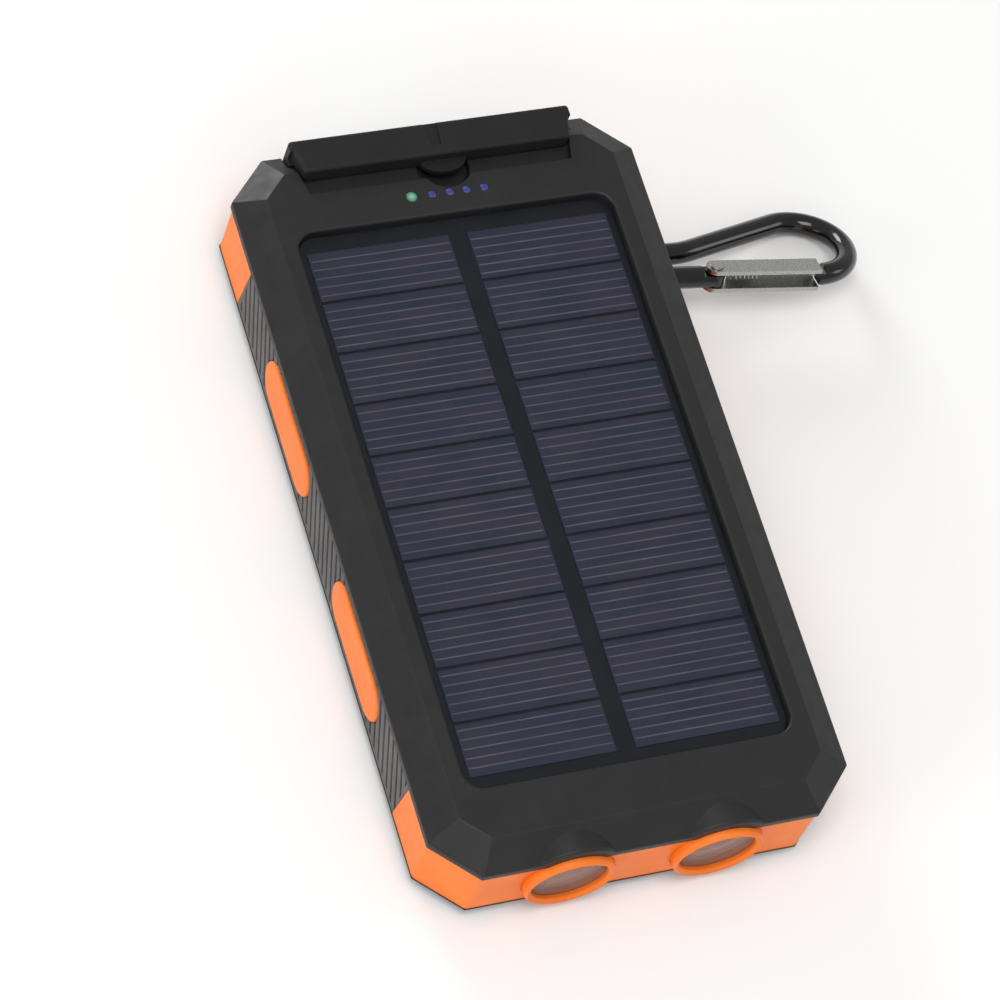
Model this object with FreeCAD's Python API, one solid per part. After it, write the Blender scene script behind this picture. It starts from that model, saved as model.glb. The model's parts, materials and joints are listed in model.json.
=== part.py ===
"""Rugged solar phone charger: a solar panel, a battery and two torches in an eight-sided case.

The case lies on its back. +Z points out of the solar face, +Y to the end with the charging
sockets, +X to the side with the power button. The origin is the middle of the back face.
All lengths are in millimetres.
"""
import FreeCAD, Part
import math
import os

from FreeCAD import Vector

os.makedirs("parts", exist_ok=True)

X_AXIS = Vector(1, 0, 0)
Y_AXIS = Vector(0, 1, 0)
Z_AXIS = Vector(0, 0, 1)
ORIGIN = Vector(0, 0, 0)
OVER = 1.0                      # how far a cutting tool runs past what it cuts

# ---- Case: an octagon in plan, bevelled on the front and on the back ----
length = 138.0
width = 75.0
thickness = 20.4
corner_leg = 7.5                # leg of the 45 degree corner cut, at the widest outline
bevel_inset = 5.2               # how far the bevels step in from the widest outline
front_bevel_height = 3.2
back_bevel_height = 2.6
back_lip_inset = 0.3            # the back shell is this much narrower than the front shell
band_bottom = 2.9               # the middle frame shows between the two shells
band_top = 15.8
band_middle = (band_bottom + band_top) / 2
band_recess = 0.4               # the middle frame sits this far inside the widest outline
wall_inset = 3.2                # inner face of the middle frame's wall
cavity_inset = 3.4              # inner face of the shells' walls
skin = 1.8                      # thickness of the back shell's floor
face_skin = 2.0                 # thickness of the front shell's face
edge_rounding = 0.5
upright_rounding = 1.2          # the middle frame's upright corners
cavity_slope_inset = 4.6        # how far the front cavity closes in towards the face
foot = 1.0                      # bosses and posts start this deep in the back shell's floor
seal_thickness = 0.5
side_cut_inner_x = 30.0         # tools that cut through a side wall run between these two
side_cut_outer_x = 40.0

half_length = length / 2
half_width = width / 2

# ---- Solar panel in its tray in the front shell ----
tray_half_width = 29.3
tray_low_y = -54.9
tray_high_y = 51.8
tray_corner = 3.5
tray_floor = 17.6
tray_skin = 1.0
tray_wall = 1.6
tray_rim_rounding = 0.5
tray_wall_seat = 1.0            # the tray's walls stop this far under the face
panel_gap = 0.2
panel_board_thickness = 1.0
cell_thickness = 0.2
panel_cover_thickness = 0.5
cell_width = 26.0
cell_strip_gap = 3.5
cells_per_strip = 10
cell_pitch = 10.11
cell_gap = 0.6
cell_strip_middle_y = -1.9

# ---- Port cover, hinged on a pin along the back edge of the top end ----
hinge_y = 67.6
hinge_z = 2.9
hinge_pin_radius = 0.6
hinge_pin_half_length = 28.2
barrel_radius = 1.5
barrel_clearance = 0.05
cover_wall = 2.0
cover_end_half_width = 26.2
cover_front_half_width = 24.7
cover_front_y = 62.5
cover_top = 22.6
cover_underside = 19.1
cover_gap = 0.3
cover_rounding = 0.7
cover_outer_y = hinge_y + barrel_radius
body_end_y = 65.6               # the case stops here behind the cover
recess_front_y = 59.3
recess_front_half_width = 24.4
recess_floor = 18.9
end_wall = 2.2
end_block_half_width = 28.8
end_block_low_y = 54.0
end_block_bottom = 16.2
end_block_seat = 0.6            # the end block stops this far under the face
end_wall_top = 18.0
cheek_thickness = 1.6
cheek_bottom = 5.2
cover_notch_half_width = 0.9
cover_notch_depth = 0.6
tab_x = 1.2
tab_half_width = 4.2
tab_reach = 2.6
tab_thickness = 1.2
scoop_radius = 4.8
scoop_y = 61.7
scoop_depth = 3.2

# ---- Sockets at the top end ----
usb_a_x = 11.4
usb_a_width = 13.1
usb_a_height = 5.7
usb_a_depth = 14.0
usb_micro_width = 8.0
usb_micro_height = 2.9
usb_micro_depth = 6.0
socket_skin = 0.4
socket_mouth_y = body_end_y - 0.1
tongue_setback = 1.7
socket_clearance = 0.2

# ---- Main board ----
board_bottom = 6.2
board_thickness = 1.2
board_top = board_bottom + board_thickness
board_half_width = 26.4
board_low_y = 36.0
board_high_y = 63.2
board_tab_x = 32.3
board_tab_low_y = 51.4
board_tab_high_y = 61.5
board_post_radius = 1.5
board_post_x = 24.0
board_post_y = 39.0

# ---- Indicator lights on the face ----
indicator_y = 56.0
status_light_x = -6.6
status_light_radius = 1.1
level_light_xs = (-2.8, 0.5, 3.6, 6.9)
level_light_radius = 0.8
light_board_bottom = 14.0
light_board_thickness = 0.8
light_board_half_width = 11.0
light_board_half_depth = 3.0
light_chip_height = 0.8

# ---- Power button on the right-hand side ----
button_y = 54.4
button_length = 6.0
button_height = 3.4
button_outer_x = 37.3
button_flange_x = 33.4
button_flange_thickness = 0.7
button_flange_length = 7.0
button_flange_height = 4.4
button_clearance = 0.2
button_travel = 0.6

# ---- Grip strips and oval pads along both sides ----
strip_thickness = 1.0
strip_low_y = -49.5
strip_high_y_left = 49.5
strip_high_y_right = 60.3
strip_slant = 1.2
strip_gap = 0.1
groove_pitch = 2.5
groove_width = 0.8
groove_depth = 0.35
groove_angle = 29.0
pad_length = 25.6
pad_height = 9.4
pad_ys = (20.6, -22.4)
pad_stand_out = 0.4
pad_gap = 0.15
pad_root = 0.5                  # how deep a pad starts behind the strip
pad_rounding = 0.5

# ---- Lanyard slot, its pin and the carabiner ----
lanyard_x = 34.3
lanyard_y = 41.7
slot_half_length = 7.8
slot_floor = 4.7
slot_roof = 14.5
slot_back_x = 28.1
slot_wall = 1.2
lanyard_pin_radius = 1.2
lanyard_pin_seat = 0.6
carabiner_z = 9.6
carabiner_tilt = 6.0            # degrees: the far end hangs down towards the table
carabiner_roll = -25.0          # degrees about its own length: the spine side hangs lower
rod_radius = 2.0
small_bend = 4.0
gate_pivot = Vector(13.0, -5.2, 0)
dip = Vector(9.0, 2.5, 0)
dip_radius = 14.0
big_bend = 8.4
big_bend_centre = Vector(33.6, 0.9, 0)
nose_angle = 264.0              # degrees round the big bend
tongue_half = 1.1               # the rod's ends are flattened to this half thickness
tongue_length = 2.6
gate_plate_inner = 1.4
gate_plate_outer = 2.2
gate_half_width = 1.9
gate_web_inner = 1.1
rivet_radius = 0.8
rivet_head_radius = 1.3
rivet_head_height = 0.3
running_clearance = 0.05

# ---- Leads inside the case ----
battery_lead_xs = (-6.0, -3.0)
battery_lead_radius = 0.7
battery_lead_z = 11.0
battery_lead_end_y = 38.0
solar_lead_x = 2.0
solar_lead_y = 46.0
solar_lead_radius = 0.6
solar_lead_hole_radius = 1.0
torch_lead_zs = (12.0, 10.2)
torch_lead_radius = 0.6

# ---- Torches in the bottom end ----
torch_x = 13.3
torch_z = 9.6
bezel_radius = 8.0
bezel_front_y = -70.4
bezel_back_y = -67.0
bezel_lip_radius = 6.7
bezel_lip = 1.4
bezel_bore_radius = 7.1
lens_radius = 7.0
lens_thickness = 1.0
reflector_hole_radius = 4.9
reflector_hole_end_y = -60.0
reflector_depth = 5.2
hood_radius = 10.2
hood_rounding = 0.6
hood_back_y = -63.0
torch_board_y = -61.4
torch_board_thickness = 1.0
torch_board_half_width = 21.0
torch_board_bottom = 4.0
torch_board_top = 15.2

# ---- Lines moulded in the back face ----
fan_line_start = (9.5, 41.0)
fan_line_end = (21.5, 69.0)
fan_line_width = 1.6
fan_line_depth = 0.6
fan_dot_radius = 1.5
long_line_x = 22.5
long_line_width = 0.6
long_line_depth = 0.4
long_dot_radius = 0.9
line_end_y = 54.0
edge_line_x = 29.7
edge_line_bend_y = 49.0
edge_line_end_x = 36.0
edge_line_width = 0.8
edge_line_depth = 0.5

# ---- Batteries, pad, screws and compass ----
battery_half_width = 30.0
battery_low_y = -54.5
battery_high_y = 32.0
battery_bottoms = (2.1, 8.1)
battery_height = 5.8
battery_rounding = 2.4
battery_pad_half_width = 25.0
battery_pad_low_y = -48.0
battery_pad_high_y = 26.0
battery_pad_bottom = 14.0
battery_pad_top = 16.5
top_screw = Vector(22.0, 60.6, 0)
bottom_screw = Vector(27.0, -60.0, 0)
boss_radius = 2.8
lower_boss_radius = 2.75
boss_split = 5.4
boss_top = 18.5
plug_radius = 2.6
plug_thickness = 0.9
screw_radius = 0.85
screw_head_radius = 1.9
screw_head_bottom = 1.3
screw_seat = 2.6
screw_end = 12.0
screw_tip_room = 0.5
compass_y = 47.0
compass_radius = 8.7
compass_depth = 5.0
compass_wall = 0.9
compass_boss_wall = 1.2
compass_lens_radius = 7.4
compass_lens_thickness = 0.9
card_radius = 6.9
card_bottom = 2.0
card_thickness = 0.4
card_hub_radius = 1.0
pivot_radius = 0.35


# ---------------------------------------------------------------- helpers
def save(name, shape):
    """Writes one sub-part as parts/NAME.step: one solid, or a group of separate solids."""
    solids = shape.Solids
    kept = solids[0] if len(solids) == 1 else Part.makeCompound(solids)
    kept.exportStep("parts/" + name + ".step")


def box(x_low, x_high, y_low, y_high, z_low, z_high):
    return Part.makeBox(x_high - x_low, y_high - y_low, z_high - z_low, Vector(x_low, y_low, z_low))


def rod(radius, start, end):
    """A round bar from one point to another."""
    return Part.makeCylinder(radius, (end - start).Length, start, end - start)


def outline(inset, z):
    """The case's eight-sided outline, moved in by inset on every side."""
    half_x = half_width - inset
    half_y = half_length - inset
    leg = corner_leg - inset * (2 - math.sqrt(2))
    quarter = [(half_x, half_y - leg), (half_x - leg, half_y)]
    upper = quarter + [(-x, y) for x, y in reversed(quarter)]
    corners = upper + [(-x, -y) for x, y in upper]
    points = [Vector(x, y, z) for x, y in corners]
    return Part.makePolygon(points + points[:1])


def slab(inset, z_low, z_high):
    """The outline as a straight-sided plate."""
    return Part.Face(outline(inset, z_low)).extrude(Vector(0, 0, z_high - z_low))


def taper(low_inset, z_low, high_inset, z_high):
    """The outline as a plate with sloping sides."""
    return Part.makeLoft([outline(low_inset, z_low), outline(high_inset, z_high)], True, True)


def plate(points, z_low, z_high):
    """A flat plate with the given corners."""
    corners = [Vector(x, y, z_low) for x, y in points]
    return Part.Face(Part.makePolygon(corners + corners[:1])).extrude(Vector(0, 0, z_high - z_low))


def rounded_plate(x_half, y_low, y_high, z_low, z_high, radius):
    """A rectangular plate with rounded upright edges."""
    body = box(-x_half, x_half, y_low, y_high, z_low, z_high)
    upright = [edge for edge in body.Edges if abs(edge.tangentAt(edge.FirstParameter).z) > 0.99]
    return body.makeFillet(radius, upright)


def stadium_bar(y_middle, long_side, high_side, x_low, x_high, z_middle=band_middle):
    """A bar along X whose section is a rectangle with fully rounded ends."""
    radius = high_side / 2
    reach = long_side / 2 - radius
    middle = box(x_low, x_high, y_middle - reach, y_middle + reach, z_middle - radius, z_middle + radius)
    ends = [
        Part.makeCylinder(radius, x_high - x_low, Vector(x_low, y_middle + side * reach, z_middle), X_AXIS)
        for side in (-1, 1)
    ]
    return middle.fuse(ends).removeSplitter()


def mirrored(shape):
    """The same shape on the other side of the case's middle plane."""
    return shape.mirror(ORIGIN, X_AXIS)


def pair(shape):
    return [shape, mirrored(shape)]


def four_screw_places():
    return [Vector(side * spot.x, spot.y, 0) for spot in (top_screw, bottom_screw) for side in (-1, 1)]


def torch_tool(radius, y_low, y_high, side):
    """A round bar on one torch's axis."""
    return rod(radius, Vector(side * torch_x, y_low, torch_z), Vector(side * torch_x, y_high, torch_z))


def channel(points, breadth, depth):
    """A shallow groove in the back face along a line of points."""
    pieces = []
    for start, end in zip(points, points[1:]):
        run = Vector(end[0] - start[0], end[1] - start[1], 0)
        bar = Part.makeBox(run.Length, breadth, depth + OVER, Vector(0, -breadth / 2, -OVER))
        bar.rotate(ORIGIN, Z_AXIS, math.degrees(math.atan2(run.y, run.x)))
        bar.translate(Vector(start[0], start[1], 0))
        pieces.append(bar)
    pieces += [dot(x, y, breadth / 2, depth) for x, y in points]
    return pieces[0].fuse(pieces[1:])


def dot(x, y, radius, depth):
    """A round dimple in the back face."""
    return Part.makeCylinder(radius, depth + OVER, Vector(x, y, -OVER), Z_AXIS)


def seal_ring(z_low, z_high):
    """A seal that follows the middle frame's wall and steps in behind the port cover."""
    outer_inset = 2.1
    inner_inset = 2.9
    leg_inner = 27.1
    leg_outer = 27.9
    row_low = body_end_y - 1.5
    row_high = body_end_y - 0.7
    ring_top = half_length - outer_inset
    ring = slab(outer_inset, z_low, z_high).cut(slab(inner_inset, z_low - OVER, z_high + OVER))
    ring = ring.cut(box(-leg_inner, leg_inner, row_high, half_length, z_low - OVER, z_high + OVER))
    row = box(-leg_outer, leg_outer, row_low, row_high, z_low, z_high)
    legs = pair(box(leg_inner, leg_outer, row_low, ring_top, z_low, z_high))
    return ring.fuse([row] + legs).removeSplitter()


def cover_zone(z_low, z_high):
    """The space behind the port cover that every part of the case keeps clear."""
    half = cover_end_half_width + cover_gap
    return box(-half, half, body_end_y, half_length + OVER, z_low, z_high)


# ---------------------------------------------------------------- case
def back_shell():
    outer = taper(bevel_inset, 0, back_lip_inset, back_bevel_height)
    outer = outer.fuse(slab(back_lip_inset, back_bevel_height, band_bottom))
    outer = outer.removeSplitter()
    shell = outer.cut(slab(cavity_inset, skin, band_bottom + OVER))
    inner_end = box(-end_block_half_width, end_block_half_width, body_end_y - end_wall,
                    half_length - band_recess, foot, band_bottom)
    bosses = [Part.makeCylinder(lower_boss_radius, boss_split - foot, spot + Vector(0, 0, foot), Z_AXIS)
              for spot in four_screw_places()]
    posts = [Part.makeCylinder(board_post_radius, board_bottom - foot,
                               Vector(side * board_post_x, board_post_y, foot), Z_AXIS)
             for side in (-1, 1)]
    compass_boss = Part.makeCylinder(compass_radius + compass_boss_wall, compass_depth - foot,
                                     Vector(0, compass_y, foot), Z_AXIS)
    shell = shell.fuse([inner_end.common(outer), compass_boss] + bosses + posts + bevel_ribs())
    return shell.cut(back_shell_cutters()).removeSplitter()


def bevel_ribs():
    """Short slanted ribs on the long back bevels, in a row near each corner."""
    rib_length = 4.4
    rib_width = 1.0
    rib_height = 0.35
    rib_pitch = 3.0
    first_rib_y = 34.0
    rib_count = 6
    slope = math.degrees(math.atan2(back_bevel_height, bevel_inset - back_lip_inset))
    lean = 20.0
    ribs = []
    for index in range(rib_count):
        rib = Part.makeBox(rib_length, rib_width, 1.0, Vector(-rib_length / 2, -rib_width / 2, -rib_height))
        rib.rotate(ORIGIN, Z_AXIS, lean)
        rib.rotate(ORIGIN, Y_AXIS, -slope)
        rib.translate(Vector(half_width - (bevel_inset + back_lip_inset) / 2,
                             first_rib_y + index * rib_pitch, back_bevel_height / 2))
        ribs += pair(rib)
    return ribs + [rib.mirror(ORIGIN, Y_AXIS) for rib in ribs]


def back_shell_cutters():
    screw_clearance = 0.3
    head_clearance = 0.2
    cutters = [cover_zone(foot, thickness)]
    cutters.append(cover_hinge_pin())
    cutters.append(box(-hinge_pin_half_length, hinge_pin_half_length, hinge_y - hinge_pin_radius,
                       hinge_y + hinge_pin_radius, hinge_z, band_bottom + OVER))
    for spot in four_screw_places():
        cutters.append(Part.makeCylinder(plug_radius + running_clearance, plug_thickness + OVER,
                                         spot - Vector(0, 0, OVER), Z_AXIS))
        cutters.append(Part.makeCylinder(screw_head_radius + head_clearance, screw_seat, spot, Z_AXIS))
        cutters.append(Part.makeCylinder(screw_radius + screw_clearance, boss_split + OVER, spot, Z_AXIS))
    cutters.append(Part.makeCylinder(compass_radius, compass_depth + 2 * OVER,
                                     Vector(0, compass_y, -OVER), Z_AXIS))
    for side in (-1, 1):
        cutters.append(torch_tool(bezel_radius + 0.1, -half_length - OVER, bezel_back_y, side))
        fan_start = (side * fan_line_start[0], fan_line_start[1])
        fan_end = (side * fan_line_end[0], fan_line_end[1])
        cutters.append(channel([fan_end, fan_start], fan_line_width, fan_line_depth))
        cutters.append(dot(fan_start[0], fan_start[1], fan_dot_radius, fan_line_depth))
        long_line = [(side * long_line_x, -line_end_y), (side * long_line_x, line_end_y)]
        cutters.append(channel(long_line, long_line_width, long_line_depth))
        cutters += [dot(x, y, long_dot_radius, edge_line_depth) for x, y in long_line]
        edge_line = [(side * edge_line_end_x, -line_end_y), (side * edge_line_x, -edge_line_bend_y),
                     (side * edge_line_x, edge_line_bend_y), (side * edge_line_end_x, line_end_y)]
        cutters.append(channel(edge_line, edge_line_width, edge_line_depth))
    return cutters


def front_shell():
    bevel_start = thickness - front_bevel_height
    outer = slab(0, band_top, bevel_start).fuse(taper(0, bevel_start, bevel_inset, thickness))
    outer = outer.removeSplitter()
    upper_edges = [edge for edge in outer.Edges if edge.BoundBox.ZMax > band_top + 0.01]
    shell = outer.makeFillet(edge_rounding, upper_edges)
    shell = shell.cut(taper(cavity_inset, band_top - OVER, cavity_inset + cavity_slope_inset,
                            thickness - face_skin))
    tray_bottom = tray_floor - tray_skin
    added = [box(-tray_half_width - tray_wall, tray_half_width + tray_wall,
                 tray_low_y - tray_wall, tray_high_y + tray_wall, tray_bottom, thickness - tray_wall_seat),
             box(-end_block_half_width, end_block_half_width, end_block_low_y, body_end_y,
                 end_block_bottom, thickness - end_block_seat).common(outer),
             box(-end_block_half_width, end_block_half_width, body_end_y - end_wall, body_end_y,
                 band_top, end_wall_top)]
    added += [Part.makeCylinder(boss_radius, boss_top - boss_split, spot + Vector(0, 0, boss_split), Z_AXIS)
              for spot in four_screw_places()]
    above_band = box(-half_width, half_width, -half_length, 0, band_top, thickness)
    for side in (-1, 1):
        hood = torch_tool(hood_radius, -half_length, hood_back_y, side).common(above_band)
        rim = [edge for edge in hood.Edges if edge.Curve.TypeId == "Part::GeomCircle"
               and abs(edge.BoundBox.YMin + half_length) < 0.01]
        added.append(hood.makeFillet(hood_rounding, rim))
    shell = shell.fuse(added).cut(front_shell_cutters(tray_bottom)).removeSplitter()
    tray_rim = [edge for edge in shell.Edges
                if edge.BoundBox.ZMin > thickness - 0.01
                and abs(edge.BoundBox.Center.x) < tray_half_width + 0.01
                and tray_low_y - 0.01 < edge.BoundBox.YMin and edge.BoundBox.YMax < tray_high_y + 0.01]
    return shell.makeFillet(tray_rim_rounding, tray_rim)


def front_shell_cutters(tray_bottom):
    cutters = [rounded_plate(tray_half_width, tray_low_y, tray_high_y, tray_floor, thickness + OVER,
                             tray_corner)]
    cutters.append(cover_zone(0, thickness + OVER))
    end_half = cover_end_half_width + cover_gap
    recess = [(-recess_front_half_width, recess_front_y), (recess_front_half_width, recess_front_y),
              (end_half, half_length + OVER), (-end_half, half_length + OVER)]
    cutters.append(plate(recess, recess_floor, thickness + OVER))
    scoop = Part.makeCylinder(scoop_radius, scoop_depth + OVER,
                              Vector(tab_x, scoop_y, thickness - scoop_depth), Z_AXIS)
    under_cover = box(-half_width, half_width, cover_front_y + 0.4, half_length, 0, thickness + 2 * OVER)
    cutters.append(scoop.cut(under_cover))
    lights = [(status_light_x, status_light_radius)] + [(x, level_light_radius) for x in level_light_xs]
    for x, radius in lights:
        low = light_board_bottom + OVER
        hole = Part.makeCylinder(radius, thickness - low + OVER, Vector(x, indicator_y, low), Z_AXIS)
        cutters.append(hole)
    for spot in four_screw_places():
        cutters.append(Part.makeCylinder(screw_radius, screw_end + screw_tip_room - boss_split + OVER,
                                         spot + Vector(0, 0, boss_split - OVER), Z_AXIS))
    for side in (-1, 1):
        cutters.append(torch_tool(bezel_radius + 0.1, bezel_front_y - OVER, bezel_back_y, side))
        lead_place = Vector(side * solar_lead_x, solar_lead_y, tray_bottom - OVER)
        cutters.append(Part.makeCylinder(solar_lead_hole_radius, tray_skin + 3 * OVER, lead_place, Z_AXIS))
    return cutters


def middle_frame():
    frame = slab(band_recess, band_bottom, band_top)
    upright = [edge for edge in frame.Edges if abs(edge.tangentAt(edge.FirstParameter).z) > 0.99]
    frame = frame.makeFillet(upright_rounding, upright)
    outer = frame
    frame = frame.cut(slab(wall_inset, band_bottom - OVER, band_top + OVER))
    end_block = box(-end_block_half_width, end_block_half_width, body_end_y - end_wall, half_length,
                    band_bottom, band_top).common(outer)
    frame = frame.fuse(end_block)
    pocket = box(slot_back_x - slot_wall, half_width - band_recess,
                 lanyard_y - slot_half_length - slot_wall, lanyard_y + slot_half_length + slot_wall,
                 band_bottom, band_top)
    frame = frame.fuse(pocket)
    frame = frame.cut([cover_zone(0, thickness), strip_blank(-1, strip_high_y_left, 0.0),
                       strip_blank(1, strip_high_y_right, 0.0)])
    frame = frame.fuse([oval_pad(side, y) for side in (-1, 1) for y in pad_ys])
    cutters = [
        box(slot_back_x, half_width, lanyard_y - slot_half_length, lanyard_y + slot_half_length,
            slot_floor, slot_roof),
        lanyard_pin(),
        cover_hinge_pin(),
        stadium_bar(button_y, button_length + 2 * button_clearance, button_height + 2 * button_clearance,
                    side_cut_inner_x, half_width + OVER),
        socket_window(0, usb_micro_width, usb_micro_height),
        seal_ring(band_bottom, band_bottom + seal_thickness),
        seal_ring(band_top - seal_thickness, band_top),
    ]
    for side in (-1, 1):
        cutters.append(torch_tool(bezel_radius + running_clearance, bezel_front_y, bezel_back_y, side))
        cutters.append(torch_tool(reflector_hole_radius, bezel_back_y - OVER, reflector_hole_end_y, side))
        cutters.append(socket_window(side * usb_a_x, usb_a_width, usb_a_height))
    return frame.cut(cutters).removeSplitter()


def socket_window(x, socket_width, socket_height):
    half = socket_width / 2 + socket_clearance
    return box(x - half, x + half, body_end_y - end_wall - OVER, body_end_y + OVER,
               board_top - socket_clearance, board_top + socket_height + socket_clearance)


def strip_blank(side, high_y, gap):
    """A grip strip before its grooves: its ends lean, following the corner patches."""
    outer_x = half_width - band_recess
    inner_x = outer_x - strip_thickness
    y_low = strip_low_y + gap
    y_high = high_y - gap
    corners = [(y_low, band_bottom), (y_high, band_bottom), (y_high - strip_slant, band_top),
               (y_low - strip_slant, band_top)]
    points = [Vector(inner_x, y, z) for y, z in corners]
    face = Part.Face(Part.makePolygon(points + points[:1]))
    blank = face.extrude(Vector(strip_thickness + (0 if gap else OVER), 0, 0))
    return blank if side > 0 else mirrored(blank)


def oval_pad(side, y):
    inner_x = half_width - band_recess - strip_thickness - pad_root
    outer_x = half_width - band_recess + pad_stand_out
    pad = stadium_bar(y, pad_length, pad_height, inner_x, outer_x)
    rim = [edge for edge in pad.Edges if edge.BoundBox.XMin > outer_x - 0.01]
    pad = pad.makeFillet(pad_rounding, rim)
    return pad if side > 0 else mirrored(pad)


def side_strip(side, high_y):
    """A rubber grip strip with slanted grooves, and windows for what comes through it."""
    outer_x = half_width - band_recess
    strip = strip_blank(1, high_y, strip_gap)
    windows = [stadium_bar(y, pad_length + 2 * pad_gap, pad_height + 2 * pad_gap,
                           side_cut_inner_x, side_cut_outer_x) for y in pad_ys]
    if side > 0:
        windows.append(box(side_cut_inner_x, side_cut_outer_x, lanyard_y - slot_half_length,
                           lanyard_y + slot_half_length, slot_floor, slot_roof))
        windows.append(stadium_bar(button_y, button_length + 2 * button_clearance,
                                   button_height + 2 * button_clearance,
                                   side_cut_inner_x, side_cut_outer_x))
    grooves = []
    band_height = band_top - band_bottom
    groove_reach = 2 * band_height
    for index in range(int((high_y - strip_low_y) / groove_pitch) + 4):
        groove = box(outer_x - groove_depth, outer_x + OVER, -groove_width / 2, groove_width / 2,
                     -groove_reach / 2, groove_reach / 2)
        groove.rotate(ORIGIN, X_AXIS, -groove_angle)
        groove.translate(Vector(0, strip_low_y + (index - 2) * groove_pitch, band_middle))
        grooves.append(groove)
    border = 0.7
    field = box(side_cut_inner_x, side_cut_outer_x, strip_low_y, high_y - strip_slant,
                band_bottom + border, band_top - border)
    grooves = Part.makeCompound(grooves).common(field)
    strip = strip.cut(grooves.Solids + windows)
    return strip if side > 0 else mirrored(strip)


# ---------------------------------------------------------------- port cover
def port_cover():
    """A lip over the face and a wall down the top end, on a hinge barrel along the back edge."""
    half = cover_end_half_width
    lip = plate([(-cover_front_half_width, cover_front_y), (cover_front_half_width, cover_front_y),
                 (half, cover_outer_y), (-half, cover_outer_y)], cover_underside, cover_top)
    wall_piece = box(-half, half, cover_outer_y - cover_wall, cover_outer_y, hinge_z, cover_top)
    cover = lip.fuse(wall_piece).removeSplitter()
    soft_edges = [edge for edge in cover.Edges
                  if edge.BoundBox.ZMin > cover_top - 0.01
                  or (edge.BoundBox.YMin > cover_outer_y - 0.01 and edge.BoundBox.ZLength > 5)
                  or (edge.BoundBox.YMax < cover_front_y + 0.01 and edge.BoundBox.ZLength > 1)]
    cover = cover.makeFillet(cover_rounding, soft_edges)
    cheeks = pair(box(half - cheek_thickness, half, body_end_y + cover_gap,
                      cover_outer_y - cover_rounding - 0.1, cheek_bottom, cover_underside + 0.5))
    barrel = rod(barrel_radius, Vector(-half, hinge_y, hinge_z), Vector(half, hinge_y, hinge_z))
    cover = cover.fuse(cheeks + [barrel, finger_tab()] + cover_plugs())
    bore = rod(hinge_pin_radius + barrel_clearance, Vector(-half - OVER, hinge_y, hinge_z),
               Vector(half + OVER, hinge_y, hinge_z))
    notch_y = cover_front_y + 2.0
    notch_outer = 1.4
    notch = plate([(-cover_notch_half_width, notch_y), (cover_notch_half_width, notch_y),
                   (notch_outer, cover_outer_y + OVER), (-notch_outer, cover_outer_y + OVER)],
                  cover_top - cover_notch_depth, cover_top + OVER)
    return cover.cut(bore).cut(notch).removeSplitter()


def finger_tab():
    """A half-moon tab to lift the cover by."""
    tab_z_low = recess_floor + 0.3
    tab = Part.makeCylinder(tab_half_width, tab_thickness, Vector(0, 0, tab_z_low), Z_AXIS)
    squeeze = FreeCAD.Matrix()
    squeeze.scale(1.0, tab_reach / tab_half_width, 1.0)
    tab = tab.transformGeometry(squeeze)
    tab.translate(Vector(tab_x, cover_front_y + 0.2, 0))
    return tab.common(box(-half_width, half_width, 0, cover_front_y + 1.0, 0, thickness))


def cover_plugs():
    """Shallow plugs that close the socket mouths."""
    inner_y = cover_outer_y - cover_wall + 0.2
    tip_y = socket_mouth_y - 1.0
    half_a = 5.4
    half_micro = 3.0
    plugs = [box(side * usb_a_x - half_a, side * usb_a_x + half_a, tip_y, inner_y,
                 board_top + 1.0, board_top + 4.6) for side in (-1, 1)]
    plugs.append(box(-half_micro, half_micro, tip_y, inner_y, board_top + 0.7, board_top + 1.7))
    return plugs


def cover_hinge_pin():
    return rod(hinge_pin_radius, Vector(-hinge_pin_half_length, hinge_y, hinge_z),
               Vector(hinge_pin_half_length, hinge_y, hinge_z))


# ---------------------------------------------------------------- solar panel
def solar_board():
    return rounded_plate(tray_half_width - panel_gap, tray_low_y + panel_gap, tray_high_y - panel_gap,
                         tray_floor, tray_floor + panel_board_thickness, tray_corner - panel_gap)


def solar_cells():
    low = tray_floor + panel_board_thickness
    first_y = cell_strip_middle_y - cells_per_strip * cell_pitch / 2
    cells = []
    for index in range(cells_per_strip):
        y = first_y + index * cell_pitch + cell_gap / 2
        cell = box(cell_strip_gap / 2, cell_strip_gap / 2 + cell_width, y, y + cell_pitch - cell_gap,
                   low, low + cell_thickness)
        cells += pair(cell)
    return Part.makeCompound(cells)


def solar_cover():
    low = tray_floor + panel_board_thickness + cell_thickness
    return rounded_plate(tray_half_width - panel_gap, tray_low_y + panel_gap, tray_high_y - panel_gap,
                         low, low + panel_cover_thickness, tray_corner - panel_gap)


# ---------------------------------------------------------------- electronics
def main_board():
    board = box(-board_half_width, board_half_width, board_low_y, board_high_y, board_bottom, board_top)
    board = board.fuse(box(board_half_width - 1, board_tab_x, board_tab_low_y, board_tab_high_y,
                           board_bottom, board_top)).removeSplitter()
    for side in (-1, 1):
        boss_place = Vector(side * top_screw.x, top_screw.y, 0)
        board = board.cut(Part.makeCylinder(boss_radius + 0.3, board_top + OVER, boss_place, Z_AXIS))
    return board


def open_socket(x, socket_width, socket_height, depth):
    """The pressed metal shell of a socket, open at the mouth."""
    back_y = socket_mouth_y - depth
    outside = box(x - socket_width / 2, x + socket_width / 2, back_y, socket_mouth_y,
                  board_top, board_top + socket_height)
    inside = box(x - socket_width / 2 + socket_skin, x + socket_width / 2 - socket_skin,
                 back_y + socket_skin, socket_mouth_y + OVER,
                 board_top + socket_skin, board_top + socket_height - socket_skin)
    return outside.cut(inside)


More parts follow.
